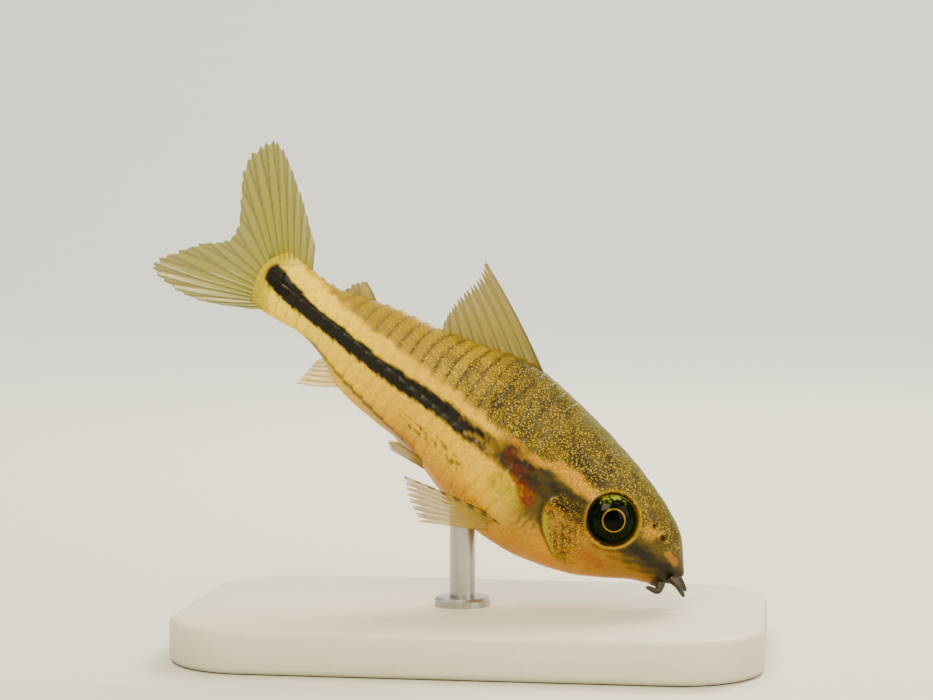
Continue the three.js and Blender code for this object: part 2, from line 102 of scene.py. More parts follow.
class Finish:
    """A material whose shader's fixed numbers are set first and whose pattern is wired after."""

    def __init__(self, name, **fixed):
        self.material = bpy.data.materials.new(name)
        self.material.use_nodes = True
        self.nodes = self.material.node_tree.nodes
        self.links = self.material.node_tree.links
        self.shader = self.nodes["Principled BSDF"]
        for socket, value in fixed.items():
            self.drive(socket.replace("_", " "), value)

    def feed(self, socket, value):
        if isinstance(value, Wire):
            self.links.new(value.socket, socket)
        else:
            socket.default_value = value

    def drive(self, socket, value):
        """Feeds one of the shader's own sockets."""
        self.feed(self.shader.inputs[socket], value)

    def node(self, kind, settings, sockets):
        made = self.nodes.new("ShaderNode" + kind)
        for key, value in settings.items():
            if key == "stops":
                for element, (position, level) in zip(made.color_ramp.elements, value):
                    element.position = position
                    element.color = (level, level, level, 1)
            else:
                setattr(made, key, value)
        for key, value in sockets.items():
            self.feed(made.inputs[key], value)
        return {out.name: Wire(self, out) for out in reversed(made.outputs) if out.enabled}

    def mix(self, share, first, second, way="MIX"):
        sockets = {0: share, 6: first, 7: second}
        return self.node("Mix", {"data_type": "RGBA", "blend_type": way}, sockets)["Result"]

    def place(self):
        return self.node("TexCoord", {}, {})["Object"]

    def noise(self, size, detail=2.0, rough=0.5, stretch=None):
        where = self.place()
        if stretch:
            where = self.node("Mapping", {}, {"Vector": where, "Scale": stretch})["Vector"]
        sockets = {"Vector": where, "Scale": 1 / size, "Detail": detail, "Roughness": rough}
        return self.node("TexNoise", {}, sockets)["Fac"]

    def ramp(self, value, low, high):
        return self.node("ValToRGB", {"stops": [(low, 0), (high, 1)]}, {"Fac": value})["Color"]

    def bump(self, height, depth, strength=1.0):
        sockets = {"Height": height, "Distance": depth, "Strength": strength}
        self.drive("Normal", self.node("Bump", {}, sockets)["Normal"])


def colour(red, green, blue):
    """A colour as the eye reads it, from 0 to 255, made linear."""
    shares = np.array([red, green, blue]) / 255
    return np.where(shares <= 0.04045, shares / 12.92, ((shares + 0.055) / 1.055) ** 2.4)


def paint(*rgb):
    return (*colour(*rgb), 1.0)


SWEEP = {"size": 1.2, "below": 0.00002, "tall": 0.5, "bend": 0.3, "bend_steps": 24}
bpy.ops.object.select_all(action="DESELECT")
bpy.ops.mesh.primitive_plane_add(size=SWEEP["size"], location=(0, 0, -SWEEP["below"]))
floor = bpy.context.object
floor.name = "floor"
bpy.ops.object.transform_apply(location=True)
for edge in floor.data.edges:
    edge.select = all(floor.data.vertices[i].co.y > 0 for i in edge.vertices)
for corner in floor.data.vertices:
    corner.select = corner.co.y > 0
bpy.ops.object.mode_set(mode="EDIT")
bpy.ops.mesh.select_mode(type="EDGE")
bpy.ops.mesh.extrude_region_move(TRANSFORM_OT_translate={"value": (0, 0, SWEEP["tall"])})
bpy.ops.object.mode_set(mode="OBJECT")
for edge in floor.data.edges:
    ends = [floor.data.vertices[i].co for i in edge.vertices]
    edge.select = all(end.y > 0 and end.z < SWEEP["tall"] / 2 for end in ends)
bpy.ops.object.mode_set(mode="EDIT")
bpy.ops.mesh.bevel(offset=SWEEP["bend"], segments=SWEEP["bend_steps"], affect="EDGES")
bpy.ops.object.mode_set(mode="OBJECT")
floor.data.shade_smooth()
floor_finish = Finish("pale_floor", Base_Color=paint(216, 213, 205), Roughness=0.75)
floor.data.materials.append(floor_finish.material)

LAMPS = {
    "key": {"place": (-0.02, -0.14, 0.16), "size": 0.10, "power": 0.68, "tint": (1.0, 0.90, 0.58)},
    "fill": {"place": (0.14, -0.08, 0.07), "size": 0.12, "power": 0.20, "tint": (1.0, 0.92, 0.68)},
    "back": {"place": (0.05, 0.10, 0.13), "size": 0.06, "power": 0.32, "tint": (1.0, 0.91, 0.62)},
    "sweep": {"place": (0, 0.20, 0.42), "size": 0.5, "power": 5.0, "tint": (1.0, 1.0, 0.98),
              "aim": (0, 0.6, 0.12)},
}
for name, lamp in LAMPS.items():
    light = bpy.data.lights.new(name, "AREA")
    light.energy = lamp["power"]
    light.size = lamp["size"]
    light.color = lamp["tint"]
    lamp_object = bpy.data.objects.new(name, light)
    lamp_object.location = lamp["place"]
    aim = Vector(lamp["place"]) - Vector(lamp.get("aim", target))
    lamp_object.rotation_euler = aim.to_track_quat("Z", "Y").to_euler()
    bpy.context.collection.objects.link(lamp_object)
ROOM = {"tint": (0.90, 0.88, 0.76, 1), "strength": 0.38}
world = bpy.data.worlds.new("soft_room")
world.use_nodes = True
room_light = world.node_tree.nodes["Background"].inputs
room_light["Color"].default_value = ROOM["tint"]
room_light["Strength"].default_value = ROOM["strength"]
bpy.context.scene.world = world

# The stand's base is a small satin plate with rounded corners and a softened rim.
# It carries the rod, and is no part of the animal.
BASE = {
    "length": 0.027, "width": 0.016, "height": 0.002,
    "corner": 0.004, "corner_steps": 14, "rim": 0.0003, "rim_steps": 3,
}
SMOOTH_BELOW = math.radians(40)


def start_piece(name):
    """Names the primitive that was just added and opens it for editing, with nothing selected."""
    piece = bpy.context.object
    piece.name = name
    bpy.ops.object.transform_apply(location=True, rotation=True, scale=True)
    bpy.ops.object.mode_set(mode="EDIT")
    bpy.ops.mesh.select_mode(type="EDGE")
    bpy.ops.mesh.select_all(action="DESELECT")
    bpy.ops.object.mode_set(mode="OBJECT")
    return piece


def pick_edges(piece, wanted):
    corners = piece.data.vertices
    for edge in piece.data.edges:
        edge.select = wanted(*(corners[i].co for i in edge.vertices))
    bpy.ops.object.mode_set(mode="EDIT")


def finish_piece(piece, finish, slot, *nodes, smooth=True):
    """Shades a piece, gives it its finish, and lets it stand for its solids."""
    bpy.ops.object.select_all(action="DESELECT")
    bpy.context.view_layer.objects.active = piece
    piece.select_set(True)
    if smooth:
        bpy.ops.object.shade_smooth_by_angle(angle=SMOOTH_BELOW)
    piece.data.materials.clear()
    piece.data.materials.append(finish.material)
    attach(piece, "root")
    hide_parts(*nodes)


bpy.ops.object.select_all(action="DESELECT")
bpy.ops.mesh.primitive_cube_add(
    size=1,
    location=(0, 0, BASE["height"] / 2),
    scale=(BASE["length"], BASE["width"], BASE["height"]),
)
plate_piece = start_piece("stand_plate")
pick_edges(plate_piece, lambda a, b: abs(a.z - b.z) > BASE["height"] / 2)
bpy.ops.mesh.bevel(offset=BASE["corner"], segments=BASE["corner_steps"], affect="EDGES")
bpy.ops.mesh.select_all(action="DESELECT")
bpy.ops.object.mode_set(mode="OBJECT")
pick_edges(plate_piece, lambda a, b: abs(a.z - b.z) < BASE["height"] / 2)
bpy.ops.mesh.bevel(offset=BASE["rim"], segments=BASE["rim_steps"], affect="EDGES")
bpy.ops.object.mode_set(mode="OBJECT")
plate_finish = Finish("satin_plate", Roughness=0.5)
plate_grain = plate_finish.noise(0.0004, 4)
plate_finish.drive(
    "Base Color",
    plate_finish.mix(plate_grain, paint(196, 190, 176), paint(212, 207, 195)),
)
plate_finish.bump(plate_grain, 0.00001, 0.5)
finish_piece(plate_piece, plate_finish, "stand_base", "stand_base")

# The rod is a plain brushed steel pin with a small turned foot. It stands on the plate,
# and its top sits just inside the flesh of the belly, all round.
ROD = {
    "radius": 0.0006, "sides": 48, "at": 41.0, "belly": -14.6, "sunk": 0.0009,
    "foot": 0.0013, "foot_height": 0.0005, "straight": 0.6, "sloping": 0.25, "chamfer": 0.00012,
}
rod_top = fish_to_world([-ROD["at"], 0, ROD["belly"]]) + np.array([0, 0, ROD["sunk"]])
bpy.ops.object.select_all(action="DESELECT")
bpy.ops.mesh.primitive_cylinder_add(
    vertices=ROD["sides"],
    radius=ROD["foot"],
    depth=ROD["foot_height"] * ROD["straight"],
    location=(rod_top[0], 0, BASE["height"] + ROD["foot_height"] * ROD["straight"] / 2),
)
rod_piece = start_piece("stand_pin")
for face in rod_piece.data.polygons:
    face.select = face.normal.z > 0.9
bpy.ops.object.mode_set(mode="EDIT")
bpy.ops.mesh.select_mode(type="FACE")
bpy.ops.mesh.inset(thickness=ROD["chamfer"])
bpy.ops.transform.translate(value=(0, 0, ROD["foot_height"] * ROD["sloping"]))
bpy.ops.mesh.inset(thickness=ROD["foot"] - ROD["chamfer"] - ROD["radius"])
foot_top = BASE["height"] + ROD["foot_height"] * (ROD["straight"] + ROD["sloping"])
bpy.ops.mesh.extrude_region_move(
    TRANSFORM_OT_translate={"value": (0, 0, rod_top[2] - foot_top)})
bpy.ops.object.mode_set(mode="OBJECT")
steel = Finish("brushed_steel", Metallic=1.0)
brushing = steel.noise(0.0001, 3, stretch=(1, 1, 0.04))
steel.drive("Base Color", steel.mix(brushing, paint(150, 152, 155), paint(196, 198, 200)))
steel.drive("Roughness", brushing * 0.25 + 0.22)
steel.bump(brushing, 0.000004, 0.6)
finish_piece(rod_piece, steel, "stand_rod", "stand_rod")

# The skin is one wet, tough sheet over the whole fish, from the snout to the root of the tail
# fin. Bony plates lie in it in two rows down each flank, and it dips into the eyes' sockets,
# the nostrils and the small mouth under the snout.
STATIONS = {
    "at": [0, 4, 8, 17.5, 27, 37, 48, 57, 66, 75, 81, 87, 94, 100],
    "back": [3.9, 7.4, 9.9, 13.4, 15.5, 16.9, 17.4, 14.7, 12, 10.1, 8.3, 6.3, 6.1, 6.6],
    "belly": [
        -0.9, -3, -4.9, -10.7, -13.8, -14.9, -12.8,
        -10.4, -10.1, -9.3, -6.5, -5.2, -5.8, -6.2,
    ],
    "widest": [2.1, 1.9, 1.2, -1.5, -4.2, -5, -4, -2, -0.8, 0.2, 0.4, 0.3, 0.2, 0.2],
    "half": [2.6, 4.5, 6.3, 9.1, 10.9, 11.4, 10.5, 8.5, 6.5, 4.9, 3.9, 3.1, 2.4, 1.3],
    "above": [2, 2, 2, 2, 1.9, 1.8, 1.75, 1.8, 1.8, 1.8, 1.9, 2, 2, 2],
    "below": [2, 2, 2.1, 2.2, 2.3, 2.4, 2.3, 2.1, 2, 1.9, 1.9, 2, 2, 2],
}
NOSE = {"round": 6, "up": 2.1}
SKIN_END = 101.4
SKIN_ROWS = 410
SKIN_COLUMNS = 212
ROW_CROWDING = 1.25


def level(key, at):
    """One measure of the body at a station, smoothly between the listed ones."""
    stops = np.array(STATIONS["at"], dtype=float)
    values = np.array(STATIONS[key], dtype=float)
    slope = np.gradient(values, stops)
    slope[1:-1] = (values[2:] - values[:-2]) / (stops[2:] - stops[:-2])
    at = np.clip(at, 0, 100)
    i = np.clip(np.searchsorted(stops, at, side="right") - 1, 0, len(stops) - 2)
    span = stops[i + 1] - stops[i]
    t = (at - stops[i]) / span
    return (
        (2 * t**3 - 3 * t**2 + 1) * values[i] + (t**3 - 2 * t**2 + t) * span * slope[i]
        + (3 * t**2 - 2 * t**3) * values[i + 1] + (t**3 - t**2) * span * slope[i + 1]
    )


def ease(low, high, value):
    t = np.clip((value - low) / (high - low), 0, 1)
    return t * t * (3 - 2 * t)


def hump(centre, width, value):
    return np.exp(-(((value - centre) / width) ** 2))


def skin_point(at, turn, out=0.0):
    """A point of the skin. turn runs from 0 at the back, down the left side, to pi at the belly."""
    share = np.sqrt(1 - (1 - np.clip(at / NOSE["round"], 0, 1)) ** 2)
    back, belly, widest = (
        NOSE["up"] + (level(key, at) - NOSE["up"]) * share for key in ("back", "belly", "widest")
    )
    half = level("half", at) * share
    sin, cos = np.sin(turn), np.cos(turn)
    power = 2 / np.where(cos > 0, level("above", at), level("below", at))
    reach = np.where(cos > 0, back + out - widest, widest - belly + out)
    y = np.sign(sin) * np.abs(sin) ** power * (half + out)
    z = widest + np.sign(cos) * np.abs(cos) ** power * reach
    return np.stack([-at + 0 * y, y, z], axis=-1)


def turn_at(at, up):
    """How far round the left side the skin reaches a height."""
    back, belly, widest = level("back", at), level("belly", at), level("widest", at)
    high = up > widest
    reach = np.where(high, back - widest, widest - belly)
    power = np.where(high, level("above", at), level("below", at)) / 2
    cos = np.clip(np.abs(up - widest) / reach, 0, 1) ** power
    return np.arccos(np.where(high, cos, -cos))


def seat_on_skin(at, up, lean=1.0):
    """A place on the left side, and the way the skin faces there."""
    turn = turn_at(at, up)
    behind = skin_point(at + 1, turn) - skin_point(at - 1, turn)
    below = skin_point(at, turn + 0.1) - skin_point(at, turn - 0.1)
    facing = np.cross(behind, below)
    facing = facing / np.linalg.norm(facing) * np.sign(facing[1])
    facing = (1 - lean) * np.array([0, 1, 0]) + lean * facing
    return skin_point(at, turn), facing / np.linalg.norm(facing)


# Each plate rises towards its rear edge, which bulges tailwards and laps over the next one.
PLATES = {
    "first": 34.0, "last": 97, "count": 23, "bulge": 1.3, "jitter": 0.05,
    "rise": 0.62, "sunk": 0.12, "seam": 0.035, "back": 0.16, "belly": 2.62,
    "starts": (34.4, 37.5), "ends": (97.5, 99.5), "nape": (0.1, 0.22), "keel": (2.42, 2.66),
}
LATERAL_LINE = 1.0
t_along = np.linspace(0, 1, SKIN_ROWS + 1)[1:]
t_round = np.arange(SKIN_COLUMNS) / SKIN_COLUMNS * 2 - 1
at, turn = np.meshgrid(SKIN_END * t_along**ROW_CROWDING, t_round * math.pi, indexing="ij")
side = np.where(turn < 0, -1, 1)
round_turn = np.abs(turn)
up = skin_point(at, round_turn)[..., 2]
lateral = turn_at(at, LATERAL_LINE + 0 * at)
upper_row = round_turn < lateral
across = np.where(
    upper_row,
    (round_turn - PLATES["back"]) / (lateral - PLATES["back"]),
    (round_turn - lateral) / (PLATES["belly"] - lateral),
)
across = np.clip(across, 0, 1)


RIPPLE_WAVES = 7


def ripple(points, size, seed):
    """A soft seeded unevenness, mostly between -1 and 1, from a few crossing waves."""
    draw = np.random.default_rng(seed)
    total = np.zeros(points.shape[:-1])
    for _ in range(RIPPLE_WAVES):
        way = draw.normal(size=3)
        way /= np.linalg.norm(way) * size * draw.uniform(0.6, 1.6)
        total += np.sin(points @ way * 2 * math.pi + draw.uniform(0, 2 * math.pi))
    return total / (RIPPLE_WAVES / 2)


surface = skin_point(at, turn)
plate_pitch = (PLATES["last"] - PLATES["first"]) / PLATES["count"]
plate_bow = PLATES["bulge"] * (np.sin(math.pi * across) - 0.5)
plate_run = (at - PLATES["first"] - plate_bow) / plate_pitch
plate_run += PLATES["jitter"] * ripple(surface, 9, 4)
plate_share = plate_run - np.floor(plate_run)
plated = ease(*PLATES["starts"], at) * (1 - ease(*PLATES["ends"], at))
plated *= ease(*PLATES["nape"], round_turn)
plated *= 1 - ease(*PLATES["keel"], round_turn + 0.12 * (1 - ease(50, 60, at)))
row_seam = hump(0, PLATES["seam"], round_turn - lateral)
relief = PLATES["rise"] * ease(0, 0.15, plate_share) * (0.3 + 0.7 * plate_share)
relief = (relief - PLATES["sunk"]) * plated * (1 - 0.7 * row_seam)

# The gill cover is a thin bony flap with a free, rounded rear edge and a soft groove behind it.
GILL = {
    "front": 20, "up": 4.8, "down": -8.8, "reach": 10.0, "low": 1.5, "rise": 0.5, "slope": 6,
    "groove": 0.35, "groove_behind": 0.35, "groove_width": 0.4,
}
gill_share = np.clip((GILL["up"] - up) / (GILL["up"] - GILL["down"]), 0, 1)
gill_edge = GILL["front"] - GILL["low"] * gill_share + GILL["reach"] * np.sin(
    math.pi * (0.12 + 0.83 * gill_share)
) ** 0.7
in_gill = ease(GILL["up"] + 0.6, GILL["up"] - 0.8, up)
in_gill *= ease(GILL["down"] - 0.6, GILL["down"] + 0.8, up)
gill_flap = in_gill * (at < gill_edge) * ease(gill_edge - GILL["slope"], gill_edge - 0.3, at)
gill_groove = hump(gill_edge + GILL["groove_behind"], GILL["groove_width"], at)
gill_groove = in_gill * gill_groove * (at > gill_edge)
low_in_gill = ease(GILL["up"] - 2.4, GILL["up"] - 7, up)
relief += (GILL["rise"] * gill_flap - GILL["groove"] * gill_groove) * low_in_gill
# The bones of the skull show as low swellings under the skin, in front of the plates.
relief += 0.10 * ripple(surface, 5, 9) * (1 - ease(30, 36, at)) * ease(2, 6, at)
fish_points = skin_point(at, turn, relief)
# Behind the last plates the flesh thins out and ends rounded on the tail fin, longest in its
# middle and cut away more above than below.
TAIL_END = {"starts": 88, "middle": 1, "above": 0.09, "below": 0.045, "thins": 93, "thinning": 0.6}
cut_away = np.where(up > TAIL_END["middle"], TAIL_END["above"], TAIL_END["below"])
cut_away = cut_away * (up - TAIL_END["middle"]) ** 2
fish_points[..., 0] += ease(TAIL_END["starts"], 100, at) * cut_away
fish_points[..., 1] *= 1 - TAIL_END["thinning"] * ease(TAIL_END["thins"], SKIN_END, at)

# The eyes' sockets, the nostrils and the mouth are pressed into the skin round their own axes.
EYE = {
    "at": 17.3, "up": 3.8, "radius": 5.0, "depth": 3.6, "bulge": 1.3, "lean": 0.8,
    "clear": 0.12, "rim": 0.5, "rim_outside": 0.35, "rim_width": 0.42,
}
NARES = [
    {"at": 7.6, "up": 6.2, "rim": 0.95, "hole": 0.62, "proud": 0.42},
    {"at": 10.2, "up": 7.2, "rim": 0.8, "hole": 0.55, "proud": 0.22},
]
NARE = {"ring": 0.32, "pit": 0.9}
NEAR = {"eye": -6, "nare": -3, "mouth": -2.2}
MOUTH = {
    "at": 2.9, "up": -1.1, "width": 2.5, "height": 1.5, "faces": math.radians(62),
    "ends": 9, "lip": 0.55, "hole": 0.9,
}


def around(points, centre, facing):
    """How far points lie from an axis, and how high above its foot."""
    away = points - centre
    height = away @ facing
    return np.linalg.norm(away - height[..., None] * facing, axis=-1), height


rim_mask = np.zeros_like(at)
nostril_shade_mask = np.zeros_like(at)
for hand in (-1, 1):
    mirror = np.array([1, hand, 1])
    centre, facing = seat_on_skin(EYE["at"], EYE["up"], EYE["lean"])
    centre, facing = centre * mirror, facing * mirror
    radial, height = around(fish_points, centre, facing)
    near = (side == hand) & (height > NEAR["eye"])
    socket = EYE["radius"] + EYE["clear"]
    inside = near & (radial < socket)
    bowl = EYE["bulge"] - EYE["depth"] - EYE["depth"] * np.sqrt(
        np.clip(1 - (radial / socket) ** 2, 0, 1)
    )
    fish_points += np.where(inside, bowl - height, 0)[..., None] * facing
    rim = hump(socket + EYE["rim_outside"], EYE["rim_width"], radial)
    rim = near * (radial >= socket) * rim
    fish_points += (EYE["rim"] * rim)[..., None] * facing
    rim_mask = np.maximum(rim_mask, near * hump(socket, 0.5, radial))
    for nare in NARES:
        centre, facing = seat_on_skin(nare["at"], nare["up"])
        centre, facing = centre * mirror, facing * mirror
        radial, height = around(fish_points, centre, facing)
        near = (side == hand) & (height > NEAR["nare"])
        ring = hump(nare["rim"], NARE["ring"], radial)
        pit = 1 - ease(nare["hole"] * 0.55, nare["hole"] * 1.1, radial)
        lift = near * (nare["proud"] * ring - NARE["pit"] * pit)
        fish_points += lift[..., None] * facing
        nostril_shade_mask = np.maximum(nostril_shade_mask, near * pit)

mouth_centre = np.array([-MOUTH["at"], 0, MOUTH["up"]])
mouth_faces = np.array([math.cos(MOUTH["faces"]), 0, -math.sin(MOUTH["faces"])])
mouth_along = np.array([math.sin(MOUTH["faces"]), 0, math.cos(MOUTH["faces"])])
from_mouth = fish_points - mouth_centre
mouth_radius = np.hypot(
    from_mouth @ mouth_along / MOUTH["height"], from_mouth[..., 1] / MOUTH["width"])
by_mouth = (from_mouth @ mouth_faces > NEAR["mouth"]) & (at < MOUTH["ends"])
lips = by_mouth * hump(1.05, 0.34, mouth_radius)
mouth_hole = by_mouth * (1 - ease(0.3, 0.8, mouth_radius))
fish_points += (MOUTH["lip"] * lips - MOUTH["hole"] * mouth_hole)[..., None] * mouth_faces

# The markings follow the species: olive back with fine gold dots, a cream band over a black
# side stripe, a cream flank that warms to amber on the belly, and a brown bar through the eye.
STRIPE = {
    "at": [0, 4, 12, 22, 32, 41, 46, 51, 56, 61, 66, 75, 85, 90, 95, 100],
    "top": [2.6, 2.8, 2.9, 3.4, 3.6, 3.7, 3.0, 2.9, 2.9, 2.5, 1.9, 1.4, 1.5, 1.6, 2.6, 3.6],
    "foot": [
        0.6, 0.2, 0, -0.2, -0.4, -0.4, -0.7, -0.8,
        -0.6, -1, -1.5, -1.7, -1.6, -1.6, -1.5, -1.1,
    ],
    "cream": [6, 6, 7, 7.6, 7.4, 5.2, 4.9, 4.9, 4.9, 4.9, 4.9, 4.6, 4.9, 5.2, 5.9, 6.6],
}
TINTS = {
    "back": (84, 68, 0), "back_dark": (28, 22, 0), "cream": (212, 168, 0), "pale": (244, 212, 4),
    "stripe": (8, 5, 0), "belly": (204, 140, 0), "pink": (180, 128, 10), "red": (100, 20, 0),
    "gill": (132, 92, 0), "gill_dark": (50, 27, 0), "painted_glint": (150, 142, 0), "grey": (168, 148, 50),
    "bar": (22, 13, 0), "tan": (160, 110, 0), "flush": (150, 58, 0), "throat": (202, 138, 0),
    "rim": (170, 134, 4), "lip": (14, 8, 0), "nare": (12, 8, 0), "edge": (18, 14, 0),
    "fin": (176, 158, 0), "green": (74, 78, 0), "painted_sheen": (176, 144, 10),
}
coat = np.empty((*at.shape, 3))
coat[:] = colour(*TINTS["back"])
uneven = ripple(surface, 2.2, 21)
fine = ripple(surface, 0.9, 22)


def cover(name, mask):
    """Lays one colour over the coat as thickly as a mask from 0 to 1 says."""
    share = np.clip(mask, 0, 1)[..., None]
    coat[:] = coat * (1 - share) + colour(*TINTS[name]) * share


def patch(low_at, high_at, low_up, high_up, soft):
    """A field with soft, uneven edges between two places along the body and two heights."""
    jag = 0.7 * soft * uneven
    field = ease(low_at - soft, low_at + soft, at + jag)
    field *= 1 - ease(high_at - soft, high_at + soft, at + jag)
    field *= ease(low_up - soft, low_up + soft, up + jag)
    return field * (1 - ease(high_up - soft, high_up + soft, up + jag))


def streak(stops, width):
    """A soft band along a few stops given as (at, up)."""
    nearest = np.full(at.shape, np.inf)
    for (a0, u0), (a1, u1) in zip(stops, stops[1:]):
        run = ((at - a0) * (a1 - a0) + (up - u0) * (u1 - u0)) / ((a1 - a0) ** 2 + (u1 - u0) ** 2)
        run = np.clip(run, 0, 1)
        away = np.hypot(at - a0 - run * (a1 - a0), up - u0 - run * (u1 - u0))
        nearest = np.minimum(nearest, away)
    return 1 - ease(width * 0.6, width * 1.3, nearest + 0.25 * width * (uneven + 0.6 * fine))


clouds = ripple(surface, 6, 31)
stripe_top = np.interp(at, STRIPE["at"], STRIPE["top"]) + 0.22 * uneven
stripe_foot = np.interp(at, STRIPE["at"], STRIPE["foot"]) + 0.22 * fine
cream_top = np.interp(at, STRIPE["at"], STRIPE["cream"]) + 0.4 * uneven
# The rear of the body is lightened towards gold: a painted sheen.
cover("painted_sheen", 0.5 * ease(46, 58, at))
cover("back_dark", 0.3 * (1 - ease(26, 44, at)))
cover("back_dark", 0.75 * (1 - ease(48, 74, at)) * ease(-0.1, 0.9, clouds) * ease(5.5, 8, up))
cover("green", 0.5 * (1 - ease(0.2, 0.55, round_turn)) * (1 - ease(36, 60, at)))
cover("back_dark", 0.8 * streak([(31, 10), (28, 8.6), (25.4, 7.2)], 1.3))
cover("cream", (1 - ease(cream_top - 0.7, cream_top + 0.8, up)) * ease(40, 47, at))
cover("pale", (1 - ease(cream_top - 0.9, cream_top + 0.3, up)) * ease(60, 90, at) * 0.7)
flank = 1 - ease(stripe_foot - 0.8, stripe_foot + 0.6, up)
cover("cream", flank * ease(31, 37, at))
depth_share = np.clip((stripe_foot - up) / (stripe_foot - level("belly", at) + 0.01), 0, 1)
cover("belly", flank * ease(0.25, 0.9, depth_share) * (0.9 - 0.55 * ease(52, 80, at)))
cover("pale", flank * ease(60, 92, at) * 0.9)
wavy = 0.3 + 0.3 * np.sin(at * 4.2 + up * 1.4 + 2 * uneven)
cover("grey", patch(27, 37, -9.8, -5.6, 1.4) * wavy)
# The yellow-green patch on the shoulder is a painted glint.
cover("painted_glint", patch(33.5, 41, -5.6, -0.8, 1.2) * (0.45 + 0.45 * ease(-0.4, 0.5, fine)))
cover("throat", ease(-4.5, -7.5, up) * (1 - ease(24, 32, at)) * 0.9)
cover("tan", patch(2, 20, -7.5, -1.5, 1.4) * 0.75)
on_gill = in_gill * ease(GILL["up"] - 1, GILL["up"] - 5, up + 0.8 * uneven)
on_gill = on_gill * (1 - ease(gill_edge - 0.2, gill_edge + 0.15, at))
cover("gill", on_gill * ease(18.5, 21.5, at) * ease(0.8, -1.2, up + 0.5 * uneven))
cover("gill_dark", on_gill * ease(17, 21, at) * ease(-0.4, 0.5, fine + 0.5 * uneven) * 0.85)
# The yellow-green along the gill cover's lower rear edge is a painted glint.
cover("painted_glint", on_gill * hump(gill_edge - 0.9, 0.75, at + 0.2 * fine) * ease(-1.5, -4, up) * 0.8)
cover("tan", on_gill * hump(19.5, 1.6, at) * ease(-0.2, 0.6, uneven) * 0.8)
cover("flush", streak([(18.6, -4.5), (14.5, -4.9)], 1.0) * (0.25 + 0.3 * ease(-0.4, 0.5, fine)))
cover("red", streak([(33, -2.2), (35.2, -0.2), (39.6, 2.6)], 1.9) * (0.8 + 0.25 * fine))
cover("pink", streak([(42, 4.6), (37.9, 3.7), (33.5, 4.6)], 0.95) * (0.85 + 0.3 * fine))
cover("pink", streak([(31.5, 5.8), (28, 5.7), (24, 5.4)], 1.45) * (0.85 + 0.3 * fine))
cover("red", streak([(41.8, 4.6), (39.5, 3.9)], 0.8) * 0.45)
bar = ease(stripe_foot - 0.9, stripe_foot + 0.3, up)
bar *= 1 - ease(stripe_top - 0.3, stripe_top + 0.9, up)
cover("bar", bar * (1 - ease(41, 46, at)) * (0.55 + 0.45 * ease(-0.5, 0.6, uneven)) * 0.9)
cover("tan", patch(8.6, 11.6, 4.6, 7.2, 0.6) * 0.85)
broken = 0.5 + 0.45 * ease(-0.5, 0.3, fine + clouds)
cover("lip", streak([(12.4, 1.9), (6, 1.5), (1.5, 1.7)], 0.8) * broken)
cover("tan", streak([(3, 3.6), (5, 4.2)], 0.7) * 0.6)
stripe = ease(stripe_foot - 0.3, stripe_foot + 0.35, up)
stripe *= 1 - ease(stripe_top - 0.35, stripe_top + 0.3, up)
stripe_run = ease(42, 46, at + 1.5 * uneven)
stripe_run *= 1 - ease(99.8, 101, at + 0.12 * (up - 1.4) ** 2)
stripe *= stripe_run
cover("fin", ease(97, 101.5, at + 0.3 * np.abs(up - 1) + 0.8 * uneven) * (1 - stripe))
cover("stripe", stripe * (1 - 0.35 * (1 - ease(47, 55, at)) * ease(0.1, 0.9, uneven)))

# Plate edges are dark on the back, strongest behind the head, and faint on the flank.
plate_rear = hump(1, 0.16, plate_share) + hump(0, 0.13, plate_share)
edge_strength = ease(34.5, 41, at) * (1 - 0.65 * ease(62, 92, at))
on_back = ease(cream_top - 0.6, cream_top + 1.2, up)
cover("edge", plate_rear * plated * edge_strength * on_back * 0.85)
cover("tan", plate_rear * plated * 0.16 * flank)
ventral_line = np.interp(at, [55, 58, 67.5, 80, 87], [-9.8, -8.9, -7.7, -5.9, -4.4])
cover("bar", hump(0, 0.45, up - ventral_line) * ease(56, 59, at) * (1 - ease(84, 88, at)) * 0.8)
mottled = ease(-0.1, 0.7, fine + 0.6 * uneven)
cover("bar", streak([(47, -5.4), (52, -4.4), (61, -5)], 1.1) * mottled * 0.8)
# The groove behind the gill cover is darkened with the plate edges' colour: painted shade in the
# crease.
cover("edge", gill_groove * low_in_gill * 0.5)
cover("rim", rim_mask * 0.75)
cover("lip", np.maximum(lips, by_mouth * (1 - ease(1.4, 2.2, mouth_radius)) * 0.75))
# The nostril pits and the mouth's opening are painted near black: painted shade in the hollows.
cover("nare", np.maximum(nostril_shade_mask, mouth_hole))

# Gold dots lie thickest on the back and the head, and the gill cover and shoulder shine most.
dots = ease(3.5, 6, up) * (1 - 0.75 * ease(56, 84, at)) * (1 - ease(0.2, 0.8, stripe))
dots *= 0.5 + 0.5 * ease(0.18, 0.6, round_turn)
dots = np.maximum(dots, 0.8 * on_gill * ease(17, 20, at)) * ease(1, 5, at)
shine = np.clip(patch(33, 41, -6, -0.5, 1.2) * 0.8 + on_gill * ease(18, 22, at) * 0.5, 0, 1)
shine = np.maximum(shine, rim_mask * 0.6)


